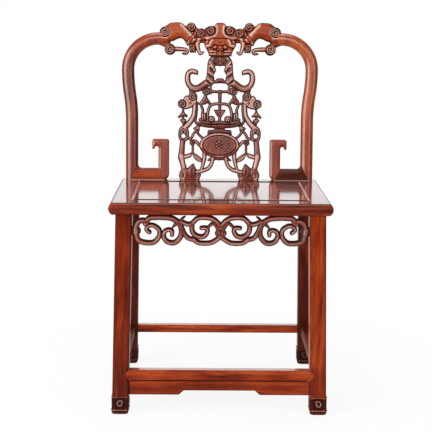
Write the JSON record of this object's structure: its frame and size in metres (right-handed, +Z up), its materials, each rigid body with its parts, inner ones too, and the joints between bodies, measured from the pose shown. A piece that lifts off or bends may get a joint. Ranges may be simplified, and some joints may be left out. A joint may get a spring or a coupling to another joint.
{
  "type": "side chair",
  "caption": "Hardwood side chair with a panelled seat, splayed legs on scroll feet, bowed back posts, a carved crest, an openwork splat and a scrolled front apron.",
  "frame": {"origin": "middle of the chair's box, on the floor", "axes": "+Z up, front of the chair towards -Y, +X to the right as seen from the front"},
  "size_m": [0.51, 0.4352, 0.9001],
  "materials": {
    "frame_wood": "polished reddish hardwood with straight grain",
    "seat_wood": "glossy polished reddish hardwood",
    "carved_wood": "polished carved reddish hardwood, darker in the recesses",
    "pin_wood": "plain hardwood pins"
  },
  "bodies": {
    "root": {"apron_pins": "pin_wood", "back_post_left": "frame_wood", "back_post_right": "frame_wood", "back_splat": "carved_wood", "crest_pegs": "pin_wood", "crest_rail": "carved_wood", "footrest_apron": "frame_wood", "footrest_pins": "pin_wood", "front_leg_left": "frame_wood", "front_leg_right": "frame_wood", "front_scroll_apron": "carved_wood", "front_stretcher": "frame_wood", "hook_upright_left": "frame_wood", "hook_upright_right": "frame_wood", "post_foot_bar_left": "frame_wood", "post_foot_bar_right": "frame_wood", "rear_apron": "frame_wood", "rear_leg_left": "frame_wood", "rear_leg_right": "frame_wood", "rear_stretcher": "frame_wood", "seat_batten": "seat_wood", "seat_front_rail": "seat_wood", "seat_left_end": "seat_wood", "seat_panel": "seat_wood", "seat_rear_rail": "seat_wood", "seat_right_end": "seat_wood", "side_apron_left": "frame_wood", "side_apron_right": "frame_wood", "side_stretcher_left": "frame_wood", "side_stretcher_right": "frame_wood"}
  },
  "joints": []
}
